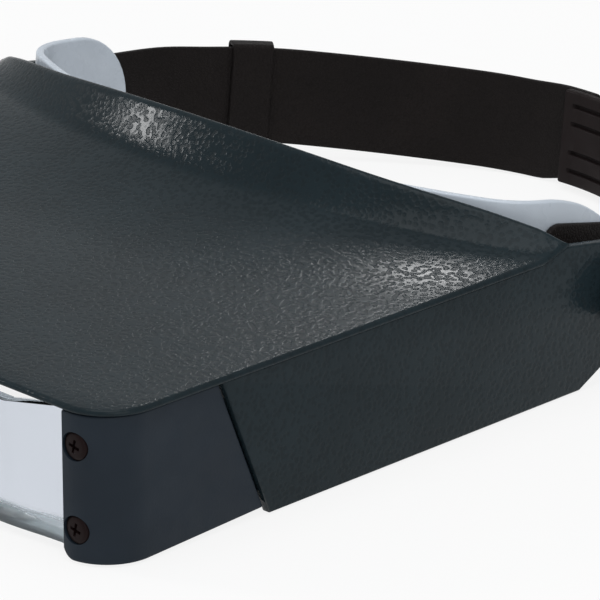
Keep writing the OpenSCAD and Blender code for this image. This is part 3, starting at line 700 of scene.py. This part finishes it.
def lens():
    """The clear plate: two magnifying zones, a thick bead below, raised tabs at both ends."""
    low, mid, tab = 1.7, 28.8, 32.2
    tab_x = SCREW_X + 2.2
    ramp0, ramp1 = WINDOW_X - 21, WINDOW_X - 5
    bead_x = WINDOW_X - 0.4
    zone_r, zone_w, zone_x = 260.0, 60.0, 32.0
    zone_z = (low + mid) / 2
    rise = zone_w**2 / (8 * zone_r)
    r = 0.15

    def top(x):
        return mid + (tab - mid) * min(1, max(0, (abs(x) - ramp0) / (ramp1 - ramp0)))

    def bead(x, z):
        """1 on the bead and 0 above it, where its upper edge falls away from the posts."""
        upper = low + 4.7 - 2.0 * smoothstep(bead_x - abs(x), 1, 22)
        return 1 - smoothstep(z, upper - 1.1, upper + 0.1)

    def front(x, z):
        d2 = (abs(x) - zone_x) ** 2 + (z - zone_z) ** 2
        lens_out = -max(0, rise - d2 / (2 * zone_r))
        edge = smoothstep(abs(x), bead_x - 1, bead_x + 0.2)
        swell = 0.3 + 1.6 * smoothstep(bead_x - abs(x), 1, 21)
        return LENS_Y + min(lens_out * (1 - edge), -swell * bead(x, z) * (1 - edge))

    def back(x, z):
        edge = smoothstep(abs(x), bead_x - 1, bead_x + 0.2)
        return LENS_Y + LENS_T + 0.8 * bead(x, z) * (1 - edge)

    xs = [-tab_x + r * (1 - cos(t)) for t in (0, 45, 90)]
    xs += list(np.linspace(-tab_x + r, tab_x - r, 177))[1:-1]
    xs += [tab_x - r * (1 - cos(t)) for t in (90, 45, 0)]
    us = [0.0, 0.004, 0.012] + [0.03 + 0.94 * i / 44 for i in range(45)] + [0.988, 0.996, 1.0]
    rings = []
    for x in xs:
        pinch = r * (1 - math.sqrt(max(0, 1 - (max(0, abs(x) - (tab_x - r)) / r) ** 2)))
        z0, z1 = low + pinch, top(x) - pinch
        zs = [z0 + (z1 - z0) * u for u in us]
        fronts, backs = [], []
        for z in zs:
            side = min(z - z0, z1 - z)
            round_off = r - math.sqrt(max(0, r * r - max(0, r - side) ** 2)) + pinch
            fronts.append((x, front(x, z) + round_off, z))
            backs.append((x, back(x, z) - round_off, z))
        rings.append(fronts + backs[::-1])
    return loft(rings)


build("lens", [lens()], ACRYLIC, "lens_unit", "clear_acrylic", ("lens_plate",), sharp=50)


def screws():
    """Pan heads with a cross recess, in their counterbores."""
    dome = [(HEAD_H, 1.25), (HEAD_H, HEAD_R - 0.1), (HEAD_H - 0.15, HEAD_R)]
    dome += [(0.62 - 0.5 * sin(t), HEAD_R - 1.0 * (1 - cos(t))) for t in (0, 15, 30, 45, 60, 75)]
    dome += [(0.08, 1.7), (0.03, 0.9), (0.0, 0.15)]
    shank = [(HEAD_H - 0.2, 1.25), (7.2, 1.25), (7.5, 0.95)]
    corners = ((-1, -1), (1, -1), (1, 1), (-1, 1))
    wedge = ((-0.4, 0.42, 1.95), (0.85, 0.28, 1.0))
    arm = loft([[(depth, w * y, h * z) for w, h in corners] for depth, y, z in wedge])
    turn = Matrix.Rotation(math.radians(12), 4, "X")
    parts, cutters = [], []
    for x, z in SCREW_SPOTS:
        for part in (lathe(dome, steps=48), lathe(shank, steps=24)):
            parts.append(along_y(part, x, CARRIER_Y + 0.2, z))
        for a in (0, 90):
            turned = moved(arm, turn @ Matrix.Rotation(math.radians(a), 4, "X"))
            cutters.append(along_y(turned, x, CARRIER_Y + 0.2, z))
    piece = build("screws", parts, SCREW, "lens_unit", "black_screw", ("lens_screws",), sharp=35)
    cut(piece, cutters, sharp=35)


screws()


# Headband, in the frame of the strap ring


def ring_build(name, parts, *args, **kwargs):
    return build(name, [moved(p, RING) for p in parts], *args, **kwargs)


def band_path():
    """Outer face of the band in plan, from the left plate's tip round the brow to the right one's."""
    cx = BAND_X - BROW_BEND
    half = math.degrees(math.asin(cx / (BROW_R - BROW_BEND)))
    cy = -BROW_REACH + BROW_R - (BROW_R - BROW_BEND) * cos(half)
    left = [(BAND_X, y) for y in np.arange(8, cy, -1.5)]
    left += [(cx + BROW_BEND * sin(a), cy - BROW_BEND * cos(a)) for a in np.arange(90, half, -3)]
    left += [(BROW_R * sin(a), BROW_R - BROW_REACH - BROW_R * cos(a)) for a in np.arange(half, 0.1, -0.8)]
    right = [(-x, y) for x, y in reversed(left)]
    return Path(left + [(0, -BROW_REACH)] + right, outward=-1)


BAND_PATH = band_path()


def band_edge(s):
    """Lower and upper edge of the band at a distance from the left plate's tip, which hangs a little."""
    x, y, _ = BAND_PATH.at(s, 0, 0)
    hang = 3.0 * smoothstep(y, -18, 0) if x > 0 else 0
    low, top = even_edge(s)
    return low - hang, top - hang


def even_edge(s):
    """The same for an even band: a round plate at each end that flows into the strip."""
    d = min(s, BAND_PATH.length - s)
    half = math.sqrt(max(0.0, PLATE_R**2 - (d - PLATE_R) ** 2)) if d < 2 * PLATE_R else 0
    top = BAND_TOP - PLATE_R + half if d < PLATE_R else BAND_TOP
    circle = BAND_TOP - PLATE_R - half
    if d < PLATE_R:
        return circle, top
    k = 3.0
    blend = max(k - abs(circle - BAND_LOW), 0) / k
    return min(circle, BAND_LOW) - blend * blend * k / 4, top


def band():
    tips = [PLATE_R * (1 - cos(t)) for t in (7, 12, 18, 26, 34, 42, 50, 58, 66, 74, 82, 90)]
    length = BAND_PATH.length
    spots = tips + list(np.linspace(18.5, length - 18.5, 150)) + [length - t for t in reversed(tips)]
    rings = []
    for s in spots:
        low, high = band_edge(s)
        rings.append([BAND_PATH.at(s, a, b) for a, b in section(-BAND_T, 0, low, high, 0.55, fill=8)])
    return loft(rings)


ring_build("forehead_strip", [band()], BAND, "headband", "band_plastic", ("forehead_band",))


def ring_path():
    """Outer face of the inner strap layer, from the left front end round the nape to the right one."""
    front_y, side_y = -19.5, 11.5
    side_r, side_a, flat_r, flat_a = 58.7, 50, 250.0, 60
    side_c = (STRAP_X - side_r, side_y)
    flat_c = (side_c[0] - (flat_r - side_r) * cos(side_a), side_c[1] - (flat_r - side_r) * sin(side_a))
    nape_r = flat_r + flat_c[0] / cos(flat_a)
    nape_c = (0, flat_c[1] + (flat_r - nape_r) * sin(flat_a))
    left = [(STRAP_X, y) for y in np.arange(front_y, side_y - 0.5, 1.5)]
    angles = [-1.0] * len(left)
    arcs = ((side_c, side_r, 0, side_a), (flat_c, flat_r, side_a, flat_a), (nape_c, nape_r, flat_a, 90))
    for (cx, cy), r, a0, a1 in arcs:
        for a in np.arange(a0, a1, 1.0):
            left.append((cx + r * cos(a), cy + r * sin(a)))
            angles.append(a)
    top = (0, nape_c[1] + nape_r)
    path = Path(left + [top] + [(-x, y) for x, y in reversed(left)])
    marks = [(a, s) for a, s in zip(angles, path.along) if a >= 0] + [(90, path.length / 2)]
    marks += [(180 - a, path.length - s) for a, s in reversed(marks[:-1])]
    return path, np.array(marks)


RING_PATH, RING_MARKS = ring_path()


def at_angle(a):
    """Distance along the ring of an angle, from 0 at the left ear to 180 at the right one."""
    return float(np.interp(a, RING_MARKS[:, 0], RING_MARKS[:, 1]))


def sag(s):
    """How far the lower and upper edges of a strap hang below their even line."""
    a = float(np.interp(s, RING_MARKS[:, 1], RING_MARKS[:, 0]))
    low = 1.6 * smoothstep(a, 91.5, 101) * (1 - smoothstep(a, 152, 175))
    high = 0.6 * smoothstep(a, 93, 106) * (1 - smoothstep(a, 155, 172))
    y = RING_PATH.at(s, 0, 0)[1]
    tilt = 0.12 * (y + 9) * (1 - smoothstep(y, 10, 45)) if s < RING_PATH.length / 2 else 0
    return low + tilt, high + tilt


def pinch(d):
    """How much a rounded strap end narrows at a distance d from its tip."""
    return END_R - math.sqrt(max(0.0, END_R**2 - max(0.0, END_R - d) ** 2))


def end_stations(s0, s1, rounded_start):
    """Stations of a strap with more of them at its rounded ends."""
    inner = [END_R * (1 - cos(t)) for t in (20, 32, 45, 58, 70, 80, 90)]
    found = stations(s0, s1, 2.5, 0.5, 0.5) + [(s1 - d, 0) for d in inner]
    found += [(s0 + d, 0) for d in inner] if rounded_start else []
    return sorted(set(found))


def straps():
    """The left strap, which steps out over the right one behind the nape pad, and the right strap."""
    step0, step1 = at_angle(75), at_angle(81)
    tail_end = at_angle(160)

    def out(s):
        return 1.9 * smoothstep(s, step0, step1)

    def half(s):
        return STRAP_W / 2 - 0.8 * smoothstep(s, at_angle(64), step0)

    def narrow(s):
        return pinch(s) + pinch(tail_end - s)

    left = strip(
        RING_PATH, end_stations(0, tail_end, True), lambda s: out(s) - STRAP_T, out,
        lambda s: STRAP_MID - half(s) + narrow(s) - sag(s)[0], lambda s: STRAP_MID + half(s) - narrow(s) - sag(s)[1],
        0.5, fill=6,
    )
    ring_build("strap_left_side", [left], STRAP, "headband", "strap_leather", ("strap_left",))
    length = RING_PATH.length
    right = strip(
        RING_PATH, end_stations(at_angle(84), length, False), fixed(-STRAP_T), fixed(0),
        lambda s: STRAP_LOW + pinch(length - s) - sag(s)[0], lambda s: STRAP_HIGH - pinch(length - s) - sag(s)[1],
        0.5, fill=6,
    )
    ring_build("strap_right_side", [right], STRAP, "headband", "strap_leather", ("strap_right",))


straps()


def keeper():
    """Loop of leatherette round both strap layers."""
    middle, gap, t = at_angle(145), 0.2, 0.9
    fall_low, fall_high = sag(middle)
    inner, outer, low, high = -1.9, 2.2, STRAP_LOW - gap - fall_low, STRAP_HIGH + gap - fall_high
    rings = []
    for s, inset in stations(middle - 5.5, middle + 5.5, 1.0, 0.4, 0.4):
        shell = section(inner - t + inset, outer + t - inset, low - t + inset, high + t - inset, 1.1, corner=6)
        hole = section(inner - inset, outer + inset, low - inset, high + inset, 0.4, corner=6)
        rings.append(([RING_PATH.at(s, a, b) for a, b in shell], [RING_PATH.at(s, a, b) for a, b in hole]))
    n, m = len(rings[0][0]), len(rings)
    points = [p for pair in rings for p in pair[0]] + [p for pair in rings for p in pair[1]]
    faces = grid_faces(m, n, closed=True) + [tuple(i + n * m for i in f) for f in grid_faces(m, n, closed=True)]
    for start in (0, (m - 1) * n):
        for i in range(n):
            here, after = start + i, start + (i + 1) % n
            faces.append((here, after, n * m + after, n * m + here))
    ring_build("keeper_loop", [(points, faces)], STRAP, "keeper", "strap_leather", ("strap_keeper",))


keeper()


def nape():
    """The adjuster's housing outside the straps and the ribbed pad inside them."""
    s0, s1 = at_angle(62), at_angle(92.4)
    spots = stations(s0, s1, 2.5, 0.8, 0.8)
    housing = strip(RING_PATH, spots, fixed(2.2), fixed(4.4), fixed(NAPE_LOW), fixed(STRAP_HIGH - 2), 0.8, fill=6)
    ring_build("nape_housing", [housing], HOUSING, "headband", "housing_plastic", ("adjuster_housing",))
    inner, outer, r = -4.5, -1.9, 0.7
    middle = (STRAP_HIGH + NAPE_LOW) / 2
    wall = ((0.8, 0), (0.62, 0.12), (0.5, 0.6), (0.35, 1), (0, 1))
    groove = wall + tuple((-dz, f) for dz, f in reversed(wall[:-1]))
    rings = []
    for s, inset in stations(s0, s1, 0.8, 0.7, 0.7):
        a0, a1, b0, b1, rr = inner + inset, outer - inset, NAPE_LOW + inset, STRAP_HIGH - inset, max(0.05, r - inset)
        ring = [(a1 - rr + rr * cos(t), b1 - rr + rr * sin(t)) for t in (0, 30, 60, 90)]
        ring += [(a0 + rr + rr * cos(t), b1 - rr + rr * sin(t)) for t in (90, 120, 150, 180)]
        deep = 1.1 * smoothstep(min(s - s0, s1 - s), 3.0, 4.2)
        ring += [(a0 + deep * f, middle + z + dz) for z in (8.4, 3.7, -3.7, -8.4) for dz, f in groove]
        ring += [(a0 + rr + rr * cos(t), b0 + rr + rr * sin(t)) for t in (180, 210, 240, 270)]
        ring += [(a1 - rr + rr * cos(t), b0 + rr + rr * sin(t)) for t in (270, 300, 330, 360)]
        rings.append([RING_PATH.at(s, a, b) for a, b in ring])
    spots = stations(s0, s1, 2.5, 0.2, 0.2)
    lip = strip(RING_PATH, spots, fixed(-3.2), fixed(2.3), fixed(NAPE_LOW), fixed(STRAP_LOW - 0.05), 0.1)
    ring_build("nape_cushion", [loft(rings), lip], RUBBER, "headband", "nape_rubber", ("nape_pad",))


nape()


def brow_cushion():
    """Crowned pad along the inside of the band, with a sewn edge."""
    half, width, deep_mid, deep_edge = 58.0, 21.0, 6.0, 1.2
    mid_z = (BAND_TOP + BAND_LOW) / 2
    flat = half - width / 2
    back_r = BROW_R - BAND_T - 0.2
    columns, sides = 96, 28
    rings = []
    for i in range(columns + 1):
        x = (half - 0.15) * sin(180 * i / columns - 90)
        full = math.sqrt(max(1e-4, 1 - (max(0, abs(x) - flat) / (width / 2)) ** 2))
        ring = []
        for j in range(sides + 1):
            t = 180 * j / sides
            z = -width / 2 * full * cos(t)
            edge = smoothstep(sin(t) * full**0.6, 0.0, 0.34)
            channel = 0.5 * math.exp(-(((width / 2 * full - abs(z)) - 1.7) / 0.55) ** 2) if full > 0.25 else 0
            crown = 0.0
            if 0 < t < 180:
                crown = deep_edge + (deep_mid - deep_edge) * edge**0.6 * math.sqrt(full) * sin(t) ** 0.35
            deep = back_r - max(0.0, crown - channel)
            a = math.degrees(math.asin(x / back_r))
            ring.append((deep * sin(a), BROW_R - BROW_REACH - deep * cos(a), mid_z + z))
        rings.append(ring)
    piece = ring_build("brow_cushion", [loft(rings)], PAD, "headband", "pad_leather", ("brow_pad",), sharp=60)


brow_cushion()


def rivets():
    """Domed heads on both sides of the band and strap at each spot."""
    dome = [(0, 3.0), (0.25, 3.0)] + [(0.25 + 0.65 * sin(t), 3.0 * cos(t)) for t in (15, 30, 45, 60, 75, 87)]
    parts = []
    for spot in RIVET_SPOTS:
        out = lathe([(STRAP_X + h, r) for h, r in dome], centre=spot, steps=40)
        inside = lathe([(BAND_X - BAND_T - h, r) for h, r in dome], centre=spot, steps=40)
        parts += both_sides(out) + both_sides(inside)
    ring_build("strap_rivet_heads", parts, RIVET, "headband", "rivet_steel", ("strap_rivets",))


rivets()


# The tilt joint


def bolts():
    """The two pivot bolts with their friction and spring washers."""
    head_x, head_r = BAND_X - BAND_T, 6.5
    dome = [(head_x, BOLT_R), (head_x, head_r - 0.1), (head_x - 0.35, head_r)]
    dome += [(head_x - 0.35 - 1.4 * sin(t), head_r * cos(t)) for t in (15, 30, 45, 60, 75, 87)]
    shank = [(head_x - 0.1, BOLT_R), (KNOB_X + 6.4, BOLT_R), (KNOB_X + 6.8, BOLT_R - 0.4)]
    parts = both_sides(lathe(dome, centre=PIVOT)) + both_sides(lathe(shank, centre=PIVOT, steps=40))
    build("pivot_studs", parts, BOLT, "headband", "bolt_steel", ("pivot_bolts",))
    washer = [(0, 3.1), (0, 7.3), (0.2, 7.5), (1.4, 7.5), (1.6, 7.3), (1.6, 3.1)]
    parts = both_sides(tube([(STRAP_X + x, r) for x, r in washer]))
    build("friction_discs", parts, NYLON, "headband", "washer_nylon", ("friction_washers",))
    spring = [(0, 6.3), (0.15, 6.5), (0.45, 6.45), (1.1, 3.7), (1.1, 3.3), (0.6, 3.3), (0, 5.6)]
    parts = both_sides(tube([(WALL_X + x, r) for x, r in spring]))
    build("spring_discs", parts, SPRING, "visor", "spring_steel", ("spring_washers",))


bolts()


def knob(name, side, body, node):
    """Fluted knob with a rounded crown and a shallow dished face."""

    def flute(x, r, angle):
        if r <= 6.8:
            return 1
        phase = (angle * FLUTES / 360 + 0.5) % 1 - 0.5
        crown = smoothstep(x, KNOB_X + KNOB_L - 1.6, KNOB_X + KNOB_L)
        fade = smoothstep(x, KNOB_X + 0.9, KNOB_X + 1.9) * (1 - 0.4 * crown)
        return 1 - 0.115 * fade * math.exp(-((phase / 0.17) ** 2))

    profile = [(0, 4.7), (0, 7.9), (0.2, 8.3)] + [(x, KNOB_R) for x in (0.6, 1.2, 2, 4, 6)]
    profile += [(6.6 + 1.4 * sin(t), 7.1 + 1.4 * cos(t)) for t in (0, 15, 30, 45, 60, 75, 90)]
    profile += [(8.5, 6.2), (KNOB_L, 5.6), (8.5, 5.0), (8.2, 4.2), (8.1, 3.0), (8.1, 0.2)]
    turned = lathe([(KNOB_X + x, r) for x, r in profile], side, FLUTES * 16, PIVOT, flute)
    build(name, [turned], KNOB, body, "knob_plastic", (node,), sharp=50)


knob("tilt_knob_left", 1, "left_knob", "knob_left")
knob("tilt_knob_right", -1, "right_knob", "knob_right")


# CAD nodes that stay, with softened edges and their own materials


def dress(node, material, width):
    """Gives a CAD node softened edges of that width and a material."""
    piece = frame["nodes"][node]
    weld = piece.modifiers.new("Joined points", "WELD")
    weld.merge_threshold = 1e-6
    flat = piece.modifiers.new("Whole faces", "DECIMATE")
    flat.decimate_type = "DISSOLVE"
    flat.angle_limit = math.radians(1)
    bevel = piece.modifiers.new("Rounded edges", "BEVEL")
    bevel.width = width * MM
    bevel.segments = 2
    bevel.limit_method = "ANGLE"
    bevel.angle_limit = math.radians(30)
    bevel.harden_normals = False
    piece.modifiers.new("Face normals", "WEIGHTED_NORMAL").keep_sharp = True
    piece.data.shade_smooth()
    piece.data.materials.clear()
    piece.data.materials.append(material)


dress("carrier_springs", SPRING, 0.15)
dress("lens_clamp_strips", CLAMP, 0.3)
dress("adjuster_rivets", RIVET, 0.1)
dress("knob_insert_left", BRASS, 0.2)
dress("knob_insert_right", BRASS, 0.2)


# Floor, light and camera


def stage_material(name, colour, glow):
    """Pale surface that shows white to the camera and in reflections, and still takes shadow."""
    s = Shader(name)
    rays = s.node("LightPath")
    seen = s.math("MAXIMUM", rays.outputs["Is Camera Ray"], rays.outputs["Is Glossy Ray"])
    seen = s.math("MAXIMUM", seen, rays.outputs["Is Transmission Ray"])
    matt = s.node("BsdfDiffuse", Color=colour)
    light = s.node("Emission", Color=rgb(1, 1, 1), Strength=1.0)
    both = s.node("MixShader")
    s.feed(both.inputs[0], s.math("MULTIPLY", seen, glow))
    s.feed(both.inputs[1], matt.outputs[0])
    s.feed(both.inputs[2], light.outputs[0])
    s.node("OutputMaterial", Surface=both.outputs[0])
    return s.material


def floor():
    size = 3.0
    mesh = bpy.data.meshes.new("floor")
    mesh.from_pydata([(-size, -size, 0), (size, -size, 0), (size, size, 0), (-size, size, 0)], [], [(0, 1, 2, 3)])
    piece = bpy.data.objects.new("floor", mesh)
    SCENE.collection.objects.link(piece)
    piece.location.z = -0.0004
    mesh.materials.append(stage_material("Pale floor", rgb(0.86, 0.86, 0.86), 0.85))


floor()


def world():
    """Even, slightly cool light from all round."""
    made = bpy.data.worlds.new("Studio")
    SCENE.world = made
    made.use_nodes = True
    soft = made.node_tree.nodes["Background"]
    soft.inputs["Color"].default_value = rgb(0.97, 0.985, 1.0)
    soft.inputs["Strength"].default_value = 0.5


world()


def lamp(name, direction, distance, size, power):
    """A rectangular softbox in that direction from the visor's middle, in metres and watts."""
    data = bpy.data.lights.new(name, "AREA")
    data.shape = "RECTANGLE"
    data.size, data.size_y = size
    data.energy = power
    piece = bpy.data.objects.new(name, data)
    SCENE.collection.objects.link(piece)
    away = Vector(direction).normalized()
    piece.location = Vector((0, -0.05, 0.03)) + away * distance
    piece.rotation_mode = "QUATERNION"
    piece.rotation_quaternion = away.to_track_quat("Z", "Y")


lamp("Front softbox", (-0.794, -0.405, 0.454), 1.5, (0.19, 0.24), 4.2)
lamp("Rear softbox", (-0.556, 0.684, 0.473), 1.5, (0.07, 0.18), 0.5)
lamp("Overhead softbox", (0.05, -0.1, 1.0), 2.0, (1.4, 1.4), 14.0)
lamp("Side softbox", (0.8, -0.35, 0.5), 2.0, (1.2, 1.2), 8.0)


def camera():
    """A long lens from the front left corner of the object, as in the photograph."""
    azimuth, elevation, distance = 44.97, 20.85, 1.1034
    target = Vector((0.0365, -0.0138645, 0.015))
    back = Vector((sin(azimuth) * cos(elevation), -cos(azimuth) * cos(elevation), sin(elevation)))
    data = bpy.data.cameras.new("Camera")
    data.lens, data.sensor_width = 288.0, 36.0
    data.clip_start, data.clip_end = 0.05, 20.0
    piece = bpy.data.objects.new("Camera", data)
    SCENE.collection.objects.link(piece)
    piece.location = target + back * distance
    piece.rotation_mode = "QUATERNION"
    piece.rotation_quaternion = back.to_track_quat("Z", "Y")
    SCENE.camera = piece


camera()

SCENE.view_settings.view_transform = "Standard"
